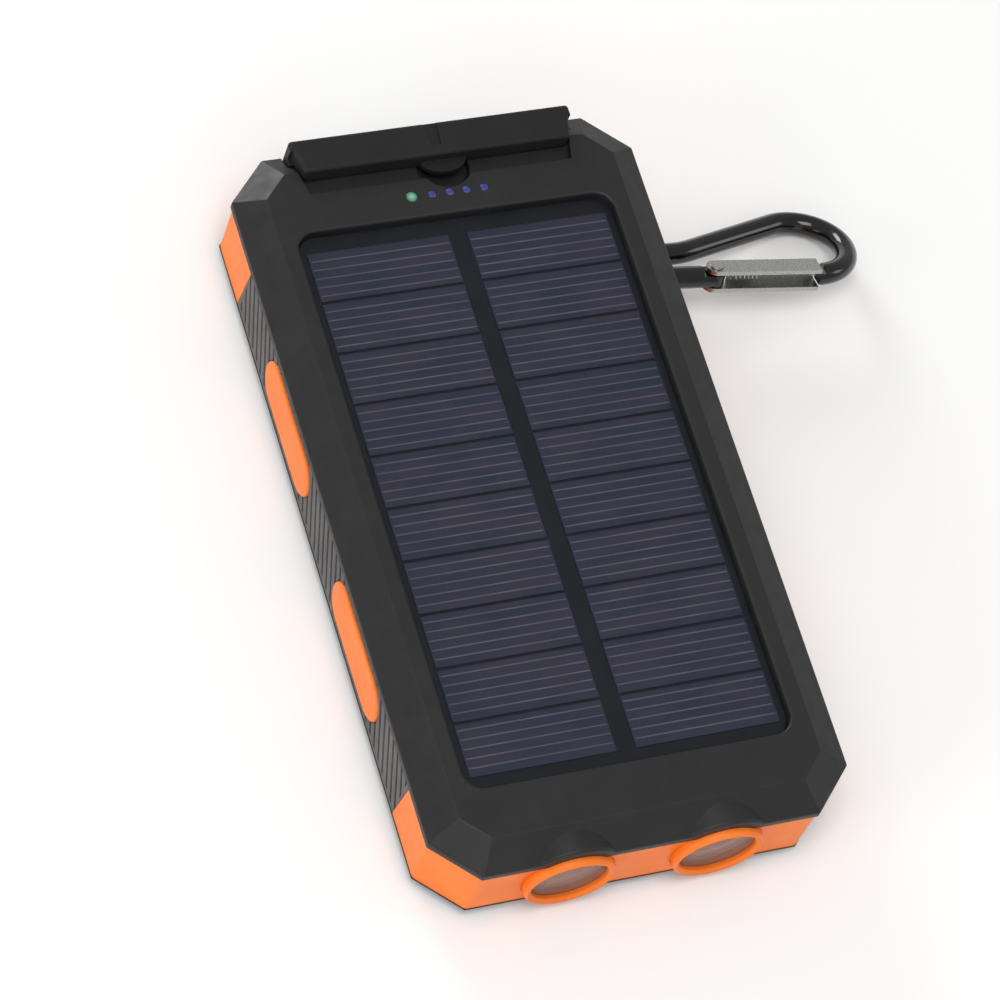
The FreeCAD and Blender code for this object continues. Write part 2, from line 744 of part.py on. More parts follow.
def usb_a_tongue(side):
    """The insulating tongue with its four contacts' block at the back."""
    x = side * usb_a_x
    half = usb_a_width / 2 - socket_skin
    back_y = socket_mouth_y - usb_a_depth + socket_skin
    block_depth = 4.0
    side_room = 0.7
    tongue_low = board_top + 2.9
    tongue_high = board_top + 4.6
    block = box(x - half, x + half, back_y, back_y + block_depth, board_top + socket_skin,
                board_top + usb_a_height - socket_skin)
    tongue = box(x - half + side_room, x + half - side_room, back_y, socket_mouth_y - tongue_setback,
                 tongue_low, tongue_high)
    return block.fuse(tongue).removeSplitter()


def usb_micro_tongue():
    half = usb_micro_width / 2 - socket_skin
    back_y = socket_mouth_y - usb_micro_depth + socket_skin
    block_depth = 1.5
    side_room = 0.9
    tongue_low = board_top + 1.1
    tongue_high = board_top + 1.6
    block = box(-half, half, back_y, back_y + block_depth, board_top + socket_skin,
                board_top + usb_micro_height - socket_skin)
    tongue = box(-half + side_room, half - side_room, back_y, socket_mouth_y - tongue_setback,
                 tongue_low, tongue_high)
    return block.fuse(tongue).removeSplitter()


def board_parts():
    """Charging chips, the coil and the capacitors that stand on the main board."""
    chips = [box(-8.0, -1.0, 40.5, 47.5, board_top, board_top + 1.0),
             box(-20.0, -15.0, 38.5, 43.5, board_top, board_top + 1.0)]
    capacitors = [Part.makeCylinder(2.0, 5.0, Vector(x, 48.2, board_top), Z_AXIS) for x in (-13.0, -19.0)]
    return Part.makeCompound(chips + capacitors)


def power_coil():
    """The square charging coil beside the chips."""
    side = 7.4
    corner_x = 9.0
    corner_y = 39.0
    height = 4.0
    rounding = 1.5
    body = box(corner_x, corner_x + side, corner_y, corner_y + side, board_top, board_top + height)
    upright = [edge for edge in body.Edges if abs(edge.tangentAt(edge.FirstParameter).z) > 0.99]
    return body.makeFillet(rounding, upright)


def button_switch():
    """The side-press switch on the board's tab, with its plunger towards the button."""
    inner_x = 27.6
    outer_x = 32.0
    half_length_y = 2.4
    height = 4.2
    plunger_radius = 1.0
    plunger_end_x = 32.7
    body = box(inner_x, outer_x, button_y - half_length_y, button_y + half_length_y,
               board_top, board_top + height)
    plunger = rod(plunger_radius, Vector(outer_x - 0.5, button_y, band_middle),
                  Vector(plunger_end_x, button_y, band_middle))
    return body.fuse(plunger).removeSplitter()


def power_button():
    stem = stadium_bar(button_y, button_length, button_height, button_flange_x, button_outer_x)
    rim = [edge for edge in stem.Edges if edge.BoundBox.XMin > button_outer_x - 0.01]
    stem = stem.makeFillet(0.4, rim)
    flange = stadium_bar(button_y, button_flange_length, button_flange_height, button_flange_x,
                         button_flange_x + button_flange_thickness)
    return stem.fuse(flange).removeSplitter()


def light_board():
    return box(-light_board_half_width, light_board_half_width, indicator_y - light_board_half_depth,
               indicator_y + light_board_half_depth, light_board_bottom,
               light_board_bottom + light_board_thickness)


def light_chips():
    low = light_board_bottom + light_board_thickness
    xs = (status_light_x,) + level_light_xs
    return Part.makeCompound([box(x - 0.8, x + 0.8, indicator_y - 0.5, indicator_y + 0.5, low,
                                  low + light_chip_height) for x in xs])


def light_pipe(x, radius):
    low = light_board_bottom + light_board_thickness + light_chip_height
    pipe = Part.makeCylinder(radius, thickness - low, Vector(x, indicator_y, low), Z_AXIS)
    rim = [edge for edge in pipe.Edges if edge.BoundBox.ZMin > thickness - 0.01]
    return pipe.makeFillet(0.25, rim)


def wire(points, radius):
    """An insulated lead inside the case: straight runs with round elbows."""
    runs = [rod(radius, start, end) for start, end in zip(points, points[1:])]
    elbows = [Part.makeSphere(radius, point) for point in points[1:-1]]
    return runs[0].fuse(runs[1:] + elbows).removeSplitter()


def battery_leads():
    """Two leads from the lower cell's end, over and down to the board."""
    leads = []
    for x in battery_lead_xs:
        leads.append(wire([Vector(x, battery_high_y, battery_lead_z), Vector(x, 34.5, battery_lead_z),
                           Vector(x, battery_lead_end_y, board_top + 1.6),
                           Vector(x, battery_lead_end_y, board_top)], battery_lead_radius))
    return Part.makeCompound(leads)


def solar_leads():
    """Two leads from the panel, through the tray's floor and down to the board."""
    leads = []
    for side in (-1, 1):
        top_x = side * solar_lead_x
        end_x = top_x + 1.5
        end_y = 51.0
        leads.append(wire([Vector(top_x, solar_lead_y, tray_floor), Vector(top_x, solar_lead_y, 13.0),
                           Vector(end_x, end_y, 8.6), Vector(end_x, end_y, board_top)], solar_lead_radius))
    return Part.makeCompound(leads)


def torch_leads():
    """Two leads from the torch board, along the left wall and down to the board."""
    start_x = -8.0
    corner_y = -56.0
    wall_x = -32.0
    end_x = -25.0
    end_y = 42.0
    leads = []
    for z in torch_lead_zs:
        leads.append(wire([Vector(start_x, torch_board_y + torch_board_thickness, z),
                           Vector(start_x, corner_y, z), Vector(wall_x, corner_y, z),
                           Vector(wall_x, 36.0, z), Vector(end_x, end_y, z),
                           Vector(end_x, end_y, board_top)], torch_lead_radius))
    return Part.makeCompound(leads)


# ---------------------------------------------------------------- torches
def torch_bezel(side):
    tube = torch_tool(bezel_radius, bezel_front_y, bezel_back_y, side)
    rim = [edge for edge in tube.Edges if edge.BoundBox.YMax < bezel_front_y + 0.01]
    tube = tube.makeFillet(1.0, rim)
    mouth = torch_tool(bezel_lip_radius, bezel_front_y - OVER, bezel_back_y + OVER, side)
    bore = torch_tool(bezel_bore_radius, bezel_front_y + bezel_lip, bezel_back_y + OVER, side)
    flare = Part.makeCone(bezel_lip_radius + 0.7, bezel_lip_radius, 0.7,
                          Vector(side * torch_x, bezel_front_y, torch_z), Y_AXIS)
    return tube.cut(mouth).cut(bore).cut(flare)


def revolved_round_torch(profile, side):
    """Turns a list of (radius, y) points about a torch's axis."""
    points = [Vector(radius, y, 0) for radius, y in profile]
    face = Part.Face(Part.makePolygon(points + points[:1]))
    body = face.revolve(ORIGIN, Y_AXIS, 360)
    body.translate(Vector(side * torch_x, 0, torch_z))
    return body


def torch_lens(side):
    front = bezel_front_y + bezel_lip + 0.05
    return torch_tool(lens_radius, front, front + lens_thickness, side)


def torch_reflector(side):
    """A thin bowl whose radius falls off as a parabola towards the lamp."""
    mouth_y = bezel_front_y + bezel_lip + 0.05 + lens_thickness
    throat = 1.9
    steps = 8
    bowl = []
    for step in range(steps + 1):
        share = step / steps
        radius = throat + (4.3 - throat) * math.sqrt(1 - share)
        bowl.append((radius, mouth_y + 0.6 + share * (reflector_depth - 0.6)))
    inner = [(lens_radius - 0.4, mouth_y)] + bowl
    outer = [(radius + 0.5, y) for radius, y in bowl[1:]]
    flange = [(4.8, mouth_y + 0.6), (lens_radius, mouth_y + 0.6), (lens_radius, mouth_y)]
    return revolved_round_torch(inner + list(reversed(outer)) + flange, side)


def torch_lamp(side):
    """The white lamp chip with its small dome."""
    half = 1.3
    chip_height = 0.9
    dome_radius = 0.85
    base_y = torch_board_y - chip_height
    chip = box(side * torch_x - half, side * torch_x + half, base_y, torch_board_y,
               torch_z - half, torch_z + half)
    dome = Part.makeSphere(dome_radius, Vector(side * torch_x, base_y, torch_z))
    return chip.fuse(dome).removeSplitter()


def torch_board():
    return box(-torch_board_half_width, torch_board_half_width, torch_board_y,
               torch_board_y + torch_board_thickness, torch_board_bottom, torch_board_top)


# ---------------------------------------------------------------- fasteners and batteries
def case_screws():
    screws = []
    for spot in four_screw_places():
        head = Part.makeCylinder(screw_head_radius, screw_seat - screw_head_bottom,
                                 spot + Vector(0, 0, screw_head_bottom), Z_AXIS)
        shank = Part.makeCylinder(screw_radius, screw_end - screw_seat,
                                  spot + Vector(0, 0, screw_seat), Z_AXIS)
        screw = head.fuse(shank)
        for angle in (0, 90):
            slot = Part.makeBox(2.4, 0.5, 0.8, Vector(-1.2, -0.25, screw_head_bottom - 0.2))
            slot.rotate(ORIGIN, Z_AXIS, angle)
            slot.translate(spot)
            screw = screw.cut(slot)
        screws.append(screw.removeSplitter())
    return Part.makeCompound(screws)


def screw_plugs():
    return Part.makeCompound([Part.makeCylinder(plug_radius, plug_thickness, spot, Z_AXIS)
                              for spot in four_screw_places()])


def battery_cell(bottom):
    body = box(-battery_half_width, battery_half_width, battery_low_y, battery_high_y, bottom,
               bottom + battery_height)
    long_edges = [edge for edge in body.Edges if edge.BoundBox.YLength > 50]
    return body.makeFillet(battery_rounding, long_edges)


def battery_pad():
    return box(-battery_pad_half_width, battery_pad_half_width, battery_pad_low_y, battery_pad_high_y,
               battery_pad_bottom, battery_pad_top)


# ---------------------------------------------------------------- compass
def compass_turned(profile):
    """Turns a list of (radius, z) points about the compass's axis."""
    points = [Vector(radius, 0, z) for radius, z in profile]
    face = Part.Face(Part.makePolygon(points + points[:1]))
    body = face.revolve(ORIGIN, Z_AXIS, 360)
    body.translate(Vector(0, compass_y, 0))
    return body


def compass_housing():
    inner = compass_radius - compass_wall
    floor_z = compass_depth - compass_wall
    return compass_turned([(0, floor_z), (inner, floor_z), (inner, compass_lens_thickness + 0.3),
                           (compass_lens_radius, compass_lens_thickness + 0.3), (compass_lens_radius, 0.4),
                           (compass_lens_radius + 0.4, 0), (compass_radius, 0),
                           (compass_radius, compass_depth), (0, compass_depth)])


def compass_lens():
    return Part.makeCylinder(compass_lens_radius, compass_lens_thickness, Vector(0, compass_y, 0.3), Z_AXIS)


def compass_card():
    """A disc with a small hub that turns on the pivot."""
    top = card_bottom + card_thickness
    bore_radius = pivot_radius + running_clearance
    bore_end = card_bottom + 0.15
    return compass_turned([(0, card_bottom - 0.3), (card_hub_radius, card_bottom),
                           (card_radius, card_bottom), (card_radius, top),
                           (card_hub_radius, top), (card_hub_radius, top + 0.5),
                           (bore_radius, top + 0.5), (bore_radius, bore_end), (0, bore_end)])


def compass_pivot():
    floor_z = compass_depth - compass_wall
    foot_radius = 1.2
    foot_z = floor_z - 0.3
    return compass_turned([(0, card_bottom + 0.2), (pivot_radius, card_bottom + 0.5), (pivot_radius, foot_z),
                           (foot_radius, foot_z), (foot_radius, floor_z), (0, floor_z)])


# ---------------------------------------------------------------- carabiner
def lanyard_pin():
    return rod(lanyard_pin_radius, Vector(lanyard_x, lanyard_y, slot_floor - lanyard_pin_seat),
               Vector(lanyard_x, lanyard_y, slot_roof + lanyard_pin_seat))


def hang(shape):
    """Moves a carabiner piece from its own flat frame to where it hangs from the lanyard pin."""
    shape.rotate(ORIGIN, X_AXIS, carabiner_roll)
    shape.rotate(ORIGIN, Y_AXIS, carabiner_tilt)
    shape.translate(Vector(lanyard_x, lanyard_y, carabiner_z))
    return shape


def tangent_touch(centre, radius, point, turn):
    """Where the tangent from a point touches a circle; turn is 1 or -1 for the two tangents."""
    away = point - centre
    spread = turn * math.acos(radius / away.Length)
    angle = math.atan2(away.y, away.x) + spread
    return centre + Vector(math.cos(angle), math.sin(angle), 0) * radius


def arc_on(centre, radius, start, middle_angle, end):
    """An arc about a centre through the given angle, in degrees."""
    turn = math.radians(middle_angle)
    middle = centre + Vector(math.cos(turn), math.sin(turn), 0) * radius
    return Part.Arc(start, middle, end).toShape()


def carabiner_line():
    """The rod's centre line: gate pivot, small bend, dipped spine, big bend, nose."""
    lower_touch = tangent_touch(ORIGIN, small_bend, gate_pivot, -1)
    upper_touch = tangent_touch(ORIGIN, small_bend, dip, 1)
    spine_touch = tangent_touch(big_bend_centre, big_bend, dip, -1)
    to_small = (upper_touch - dip).normalize()
    to_big = (spine_touch - dip).normalize()
    half_turn = math.acos(to_small.dot(to_big)) / 2
    setback = dip_radius / math.tan(half_turn)
    bisector = (to_small + to_big).normalize()
    dip_middle = dip + bisector * (dip_radius / math.sin(half_turn) - dip_radius)
    nose_turn = math.radians(nose_angle)
    nose = big_bend_centre + Vector(math.cos(nose_turn), math.sin(nose_turn), 0) * big_bend
    edges = [
        Part.LineSegment(gate_pivot, lower_touch).toShape(),
        arc_on(ORIGIN, small_bend, lower_touch, 180.0, upper_touch),
        Part.LineSegment(upper_touch, dip + to_small * setback).toShape(),
        Part.Arc(dip + to_small * setback, dip_middle, dip + to_big * setback).toShape(),
        Part.LineSegment(dip + to_big * setback, spine_touch).toShape(),
        arc_on(big_bend_centre, big_bend, spine_touch, 0.0, nose),
    ]
    return Part.Wire(edges), nose


def gate_direction():
    """Unit vector along the closed gate, from its pivot to the nose."""
    nose = carabiner_line()[1]
    return (nose - gate_pivot).normalize()


def in_gate_frame(shape):
    """Turns and moves a piece made along +X so that it lies along the closed gate."""
    along = gate_direction()
    shape.rotate(ORIGIN, Z_AXIS, math.degrees(math.atan2(along.y, along.x)))
    shape.translate(gate_pivot)
    return shape


def carabiner_body():
    line, nose = carabiner_line()
    first_run = line.Edges[0]
    heading = first_run.tangentAt(first_run.FirstParameter)
    section = Part.Wire(Part.makeCircle(rod_radius, gate_pivot, heading))
    rod_body = line.makePipeShell([section], True, False)
    reach = (nose - gate_pivot).Length
    blank = box(-tongue_length, reach + tongue_length, -4.0, 4.0, -5.0, 5.0)
    middle = box(-tongue_length - OVER, reach + tongue_length + OVER, -5.0, 5.0, -tongue_half, tongue_half)
    flats = blank.cut(middle)
    body = rod_body.cut(in_gate_frame(flats.common(box(-tongue_length, 6.0, -4, 4, -5, 5))))
    body = body.cut(in_gate_frame(flats.common(box(reach - 2.4, reach + OVER, -4, 4, -5, 5))))
    body = body.fuse(in_gate_frame(Part.makeCylinder(gate_half_width, 2 * tongue_half,
                                                     Vector(0, 0, -tongue_half), Z_AXIS)))
    rest_cut = box(reach - 2.4, reach + OVER, gate_web_inner - 0.3, 4.0, -5.0, 5.0)
    body = body.cut(in_gate_frame(rest_cut))
    hole = rod(rivet_radius, gate_pivot - Vector(0, 0, 5), gate_pivot + Vector(0, 0, 5))
    return hang(body.cut(hole).removeSplitter())


def carabiner_gate():
    """A folded steel channel, open on the outside, that swings in about its rivet."""
    reach = (carabiner_line()[1] - gate_pivot).Length
    side_plate = box(0, reach, -gate_half_width, gate_half_width, gate_plate_inner, gate_plate_outer)
    side_plate = side_plate.fuse(Part.makeCylinder(gate_half_width, gate_plate_outer - gate_plate_inner,
                                                   Vector(0, 0, gate_plate_inner), Z_AXIS))
    other_plate = side_plate.mirror(ORIGIN, Z_AXIS)
    web = box(2.8, reach, gate_web_inner, gate_half_width, -gate_plate_outer, gate_plate_outer)
    gate = side_plate.fuse([other_plate, web])
    bore = rod(rivet_radius + running_clearance, Vector(0, 0, -5), Vector(0, 0, 5))
    return hang(in_gate_frame(gate.cut(bore).removeSplitter()))


def gate_rivet():
    head_low = gate_plate_outer + 0.1
    end = head_low + rivet_head_height
    shank = rod(rivet_radius, Vector(0, 0, -end), Vector(0, 0, end))
    heads = [Part.makeCylinder(rivet_head_radius, rivet_head_height, Vector(0, 0, z), Z_AXIS)
             for z in (head_low, -end)]
    return hang(in_gate_frame(shank.fuse(heads).removeSplitter()))


def gate_spring():
    """A small coil spring inside the gate's channel."""
    coil_radius = 0.6
    wire_radius = 0.18
    pitch = 0.8
    coil_length = 4.8
    helix = Part.makeHelix(pitch, coil_length, coil_radius)
    section = Part.Wire(Part.makeCircle(wire_radius, Vector(coil_radius, 0, 0), Y_AXIS))
    coil = Part.Wire(helix.Edges).makePipeShell([section], True, True)
    coil.rotate(ORIGIN, Y_AXIS, 90)
    coil.translate(Vector(3.4, 0.1, 0))
    return hang(in_gate_frame(coil))


# ---------------------------------------------------------------- write every piece
save("back_shell", back_shell())
save("front_shell", front_shell())
save("middle_frame", middle_frame())
save("grip_strip_left", side_strip(-1, strip_high_y_left))
save("grip_strip_right", side_strip(1, strip_high_y_right))
save("front_seal", seal_ring(band_top - seal_thickness, band_top))
save("back_seal", seal_ring(band_bottom, band_bottom + seal_thickness))
save("port_cover", port_cover())
save("cover_hinge_pin", cover_hinge_pin())
save("solar_board", solar_board())
save("solar_cells", solar_cells())
save("solar_cover", solar_cover())
save("main_board", main_board())
save("usb_a_socket_left", open_socket(-usb_a_x, usb_a_width, usb_a_height, usb_a_depth))
save("usb_a_socket_right", open_socket(usb_a_x, usb_a_width, usb_a_height, usb_a_depth))
save("usb_a_tongue_left", usb_a_tongue(-1))
save("usb_a_tongue_right", usb_a_tongue(1))
save("micro_usb_socket", open_socket(0, usb_micro_width, usb_micro_height, usb_micro_depth))
save("micro_usb_tongue", usb_micro_tongue())
save("board_parts", board_parts())
save("power_coil", power_coil())
save("button_switch", button_switch())
save("power_button", power_button())
save("indicator_board", light_board())
save("indicator_chips", light_chips())
save("status_light_pipe", light_pipe(status_light_x, status_light_radius))
save("level_light_pipes", Part.makeCompound([light_pipe(x, level_light_radius) for x in level_light_xs]))
save("battery_leads", battery_leads())
save("solar_leads", solar_leads())
save("torch_leads", torch_leads())
for side, word in ((-1, "left"), (1, "right")):
    save("torch_bezel_" + word, torch_bezel(side))
    save("torch_lens_" + word, torch_lens(side))
    save("torch_reflector_" + word, torch_reflector(side))
    save("torch_lamp_" + word, torch_lamp(side))
save("torch_board", torch_board())
save("case_screws", case_screws())
save("screw_plugs", screw_plugs())
save("battery_cell_lower", battery_cell(battery_bottoms[0]))
save("battery_cell_upper", battery_cell(battery_bottoms[1]))
save("battery_pad", battery_pad())
save("compass_housing", compass_housing())
save("compass_lens", compass_lens())
save("compass_card", compass_card())
save("compass_pivot", compass_pivot())
save("lanyard_pin", lanyard_pin())
save("carabiner_body", carabiner_body())
save("carabiner_gate", carabiner_gate())
save("gate_rivet", gate_rivet())
save("gate_spring", gate_spring())
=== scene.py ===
"""Looks for the rugged solar phone charger: materials, fine pieces, floor, light and camera.

Everything is in metres in the CAD model's frame: +Z out of the solar face, +Y to the socket end,
+X to the side with the power button and the carabiner.
"""
import bmesh
import bpy
import json
import math
from mathutils import Matrix, Quaternion, Vector


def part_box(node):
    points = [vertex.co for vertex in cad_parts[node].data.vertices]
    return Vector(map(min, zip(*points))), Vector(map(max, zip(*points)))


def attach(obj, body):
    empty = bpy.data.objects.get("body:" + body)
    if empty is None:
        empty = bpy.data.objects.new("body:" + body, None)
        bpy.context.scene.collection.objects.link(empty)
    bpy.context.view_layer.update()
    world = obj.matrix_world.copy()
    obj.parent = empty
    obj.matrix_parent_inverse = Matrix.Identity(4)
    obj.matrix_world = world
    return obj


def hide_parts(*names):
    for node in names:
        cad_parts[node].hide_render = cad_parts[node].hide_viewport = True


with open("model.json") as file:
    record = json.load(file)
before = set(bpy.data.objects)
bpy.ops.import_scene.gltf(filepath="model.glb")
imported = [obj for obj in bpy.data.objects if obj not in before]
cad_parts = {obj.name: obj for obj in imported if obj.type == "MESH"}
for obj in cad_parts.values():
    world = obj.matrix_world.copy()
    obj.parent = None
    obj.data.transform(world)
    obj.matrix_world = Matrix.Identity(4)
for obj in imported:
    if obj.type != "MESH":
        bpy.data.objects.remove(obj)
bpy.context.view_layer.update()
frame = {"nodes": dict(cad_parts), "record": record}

MM = 0.001

# ---- Camera: the angle that the charger is looked at from ----
CAMERA_TARGET = Vector((-3.5, 1.7, 7.6)) * MM
CAMERA_DISTANCE = 790 * MM
CAMERA_ELEVATION = math.radians(58.89)
CAMERA_AZIMUTH = math.radians(-129.37)
CAMERA_ROLL = math.radians(25.83)
CAMERA_LENS = 165.3

# ---- Light: name, azimuth and elevation in degrees, distance and side in metres, watts ----
SOFTBOXES = (
    ("left_key", 196, 14, 0.9, 0.40, 2.6),
    ("front_fill", 262, 24, 0.9, 0.50, 1.0),
    ("top_box", 230, 76, 1.0, 0.50, 4.2),
    ("back_box", 102, 18, 0.8, 0.30, 2.6),
    ("right_box", -14, 27, 0.8, 0.25, 0.5),
)
WORLD_STRENGTH = 0.50
FLOOR_HALF_SIZE = 3.0

# ---- Solar cells and the sheet over them ----
CELLS_PER_STRIP = 10
FINGERS_PER_CELL = 5
FINGER_WIDTH = 0.24 * MM
FINGER_SPACING = 0.172           # share of one cell's pitch
FINGER_HEIGHT = 0.02 * MM
FINGER_INSET = 0.3 * MM
COVER_LIFT = 0.03 * MM           # the sheet's underside is this far above the cells
COVER_CORNER_RADIUS = 3.3 * MM
COVER_CORNER_STEPS = 8
COVER_EASE = 0.15 * MM

# ---- Socket contacts ----
CONTACT_THICKNESS = 0.1 * MM
USB_A_CONTACT_XS = (-3.5 * MM, -1.0 * MM, 1.0 * MM, 3.5 * MM)
USB_A_TONGUE_RISE = 2.5 * MM
MICRO_CONTACT_XS = (-1.3 * MM, -0.65 * MM, 0.0, 0.65 * MM, 1.3 * MM)
MICRO_TONGUE_RISE = 0.7 * MM
CONTACT_SETBACK = 0.4 * MM       # from the tongue's front edge
USB_A_CONTACT_SIZE = (1.1 * MM, 6.5 * MM)
MICRO_CONTACT_SIZE = (0.35 * MM, 2.2 * MM)

# ---- Compass dial ----
DIAL_RISE = 0.9 * MM             # from the dial's printed face to the top of the card's hub
MARK_THICKNESS = 0.08 * MM
TICK_COUNT = 36
LONG_TICK_EVERY = 3
LONG_TICK = (1.1 * MM, 0.26 * MM)
SHORT_TICK = (0.6 * MM, 0.14 * MM)
TICK_MARGIN = 0.3 * MM
NEEDLE_TOP = 0.04 * MM
NEEDLE_BOTTOM = 0.10 * MM
NEEDLE_HALF_WIDTH = 0.95 * MM
NEEDLE_SHOULDER = 1.1 * MM
NEEDLE_LENGTH = 4.9 * MM


# ---------------------------------------------------------------- materials
class Nodes:
    """A short way to write one material's node tree."""

    def __init__(self, name):
        self.material = bpy.data.materials.new(name)
        self.material.use_nodes = True
        self.tree = self.material.node_tree
        self.shader = self.tree.nodes["Principled BSDF"]
        self.place = self.add("ShaderNodeTexCoord").outputs["Object"]

    def add(self, kind, **settings):
        node = self.tree.nodes.new(kind)
        for key, value in settings.items():
            setattr(node, key, value)
        return node

    def link(self, output, socket):
        self.tree.links.new(output, socket)

    def fix(self, **values):
        """Sets constants on the shader's own sockets; coat_weight=1 sets Coat Weight."""
        for key, value in values.items():
            self.shader.inputs[socket_name(key)].default_value = value

    def stretched(self, stretch):
        """Object coordinates scaled along each axis."""
        mapping = self.add("ShaderNodeMapping")
        mapping.inputs["Scale"].default_value = stretch
        self.link(self.place, mapping.inputs["Vector"])
        return mapping.outputs["Vector"]

    def noise(self, feature, detail=3.0, vector=None):
        """Noise whose blobs are about one feature length across."""
        node = self.add("ShaderNodeTexNoise")
        node.inputs["Scale"].default_value = 1.0 / feature
        node.inputs["Detail"].default_value = detail
        self.link(vector or self.place, node.inputs["Vector"])
        return node.outputs["Fac"]

    def ramp(self, factor, low_colour, high_colour, low=0.35, high=0.65):
        """A colour that runs from one value to another as the factor goes from low to high."""
        node = self.add("ShaderNodeValToRGB")
        first, last = node.color_ramp.elements
        first.position = low
        last.position = high
        first.color = (*low_colour, 1.0)
        last.color = (*high_colour, 1.0)
        self.link(factor, node.inputs["Fac"])
        return node.outputs["Color"]

    def spread(self, factor, low, high):
        """Turns noise into a number between low and high."""
        node = self.add("ShaderNodeMapRange")
        node.inputs["From Min"].default_value = 0.3
        node.inputs["From Max"].default_value = 0.7
        node.inputs["To Min"].default_value = low
        node.inputs["To Max"].default_value = high
        self.link(factor, node.inputs["Value"])
        return node.outputs["Result"]

    def distance_from(self, axis, radius):
        """Share of a radius from an upright axis: 0 on the axis and 1 at the radius."""
        mapping = self.add("ShaderNodeMapping")
        mapping.inputs["Location"].default_value = (-axis.x / radius, -axis.y / radius, 0.0)
        mapping.inputs["Scale"].default_value = (1 / radius, 1 / radius, 0.0)
        self.link(self.place, mapping.inputs["Vector"])
        length = self.add("ShaderNodeVectorMath", operation="LENGTH")
        self.link(mapping.outputs["Vector"], length.inputs[0])
        return length.outputs["Value"]

    def relief(self, height, depth, edge=0.0):
        """Bump of the given depth, and softened edges where edge is more than zero."""
        bump = self.add("ShaderNodeBump")
        bump.inputs["Distance"].default_value = depth
        self.link(height, bump.inputs["Height"])
        if edge:
            bevel = self.add("ShaderNodeBevel", samples=4)
            bevel.inputs["Radius"].default_value = edge
            self.link(bevel.outputs["Normal"], bump.inputs["Normal"])
        self.link(bump.outputs["Normal"], self.shader.inputs["Normal"])


def socket_name(key):
    words = {"ior": "IOR"}
    return " ".join(words.get(word, word.capitalize()) for word in key.split("_"))


def moulded(slot, dark, light, roughness, grain, depth, edge=0.0, **fixed):
    """Moulded plastic, rubber or foil: slow mottling, uneven gloss and a fine grain."""
    nodes = Nodes(slot)
    cloud = nodes.noise(9 * MM)
    nodes.link(nodes.ramp(cloud, dark, light), nodes.shader.inputs["Base Color"])
    smear = nodes.noise(2.5 * MM, detail=5.0)
    nodes.link(nodes.spread(smear, *roughness), nodes.shader.inputs["Roughness"])
    nodes.relief(nodes.noise(grain, detail=2.0), depth, edge)
    nodes.fix(**fixed)
    return nodes.material


def brushed(slot, dark, light, roughness, stretch, **fixed):
    """Drawn or brushed metal: fine lines along one direction."""
    nodes = Nodes(slot)
    lines = nodes.noise(0.5 * MM, detail=6.0, vector=nodes.stretched(stretch))
    nodes.link(nodes.ramp(lines, dark, light), nodes.shader.inputs["Base Color"])
    nodes.link(nodes.spread(lines, *roughness), nodes.shader.inputs["Roughness"])
    nodes.relief(lines, 0.015 * MM)
    nodes.fix(metallic=1.0, **fixed)
    return nodes.material


def silicon():
    """Solar cell: dark blue crystal with slow changes of hue under a clear laminate."""
    nodes = Nodes("cell_blue")
    crystal = nodes.noise(5 * MM, detail=4.0, vector=nodes.stretched((0.5, 1.6, 1.0)))
    colour = nodes.ramp(crystal, (0.015, 0.022, 0.046), (0.030, 0.026, 0.052))
    nodes.link(colour, nodes.shader.inputs["Base Color"])
    nodes.link(nodes.spread(nodes.noise(1.2 * MM), 0.42, 0.55), nodes.shader.inputs["Roughness"])
    nodes.relief(nodes.noise(3.0 * MM), 0.006 * MM)
    nodes.fix(specular_ior_level=0.3)
    return nodes.material


def clear(slot, tint, alpha, roughness):
    """Clear plastic or glass with faint smears."""
    nodes = Nodes(slot)
    smear = nodes.noise(4 * MM, detail=4.0)
    paler = tuple(min(1.0, part * 1.06) for part in tint)
    nodes.link(nodes.ramp(smear, tint, paler), nodes.shader.inputs["Base Color"])
    nodes.link(nodes.spread(smear, roughness, roughness * 1.6), nodes.shader.inputs["Roughness"])
    nodes.fix(alpha=alpha)
    return nodes.material


def lit(slot, rim, middle, strength, pipe=None):
    """A light pipe whose chip is on: a glow in blotches, or from the middle out where its node is named."""
    nodes = Nodes(slot)
    blotch = nodes.noise(0.8 * MM)
    if pipe:
        low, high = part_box(pipe)
        outwards = nodes.distance_from((low + high) / 2, (high.x - low.x) / 2)
        glow = nodes.ramp(outwards, middle, rim, 0.25, 0.95)
    else:
        glow = nodes.ramp(blotch, rim, middle)
    nodes.link(glow, nodes.shader.inputs["Base Color"])
    nodes.link(glow, nodes.shader.inputs["Emission Color"])
    nodes.link(nodes.spread(blotch, 0.25, 0.4), nodes.shader.inputs["Roughness"])
    nodes.fix(emission_strength=strength)
    return nodes.material


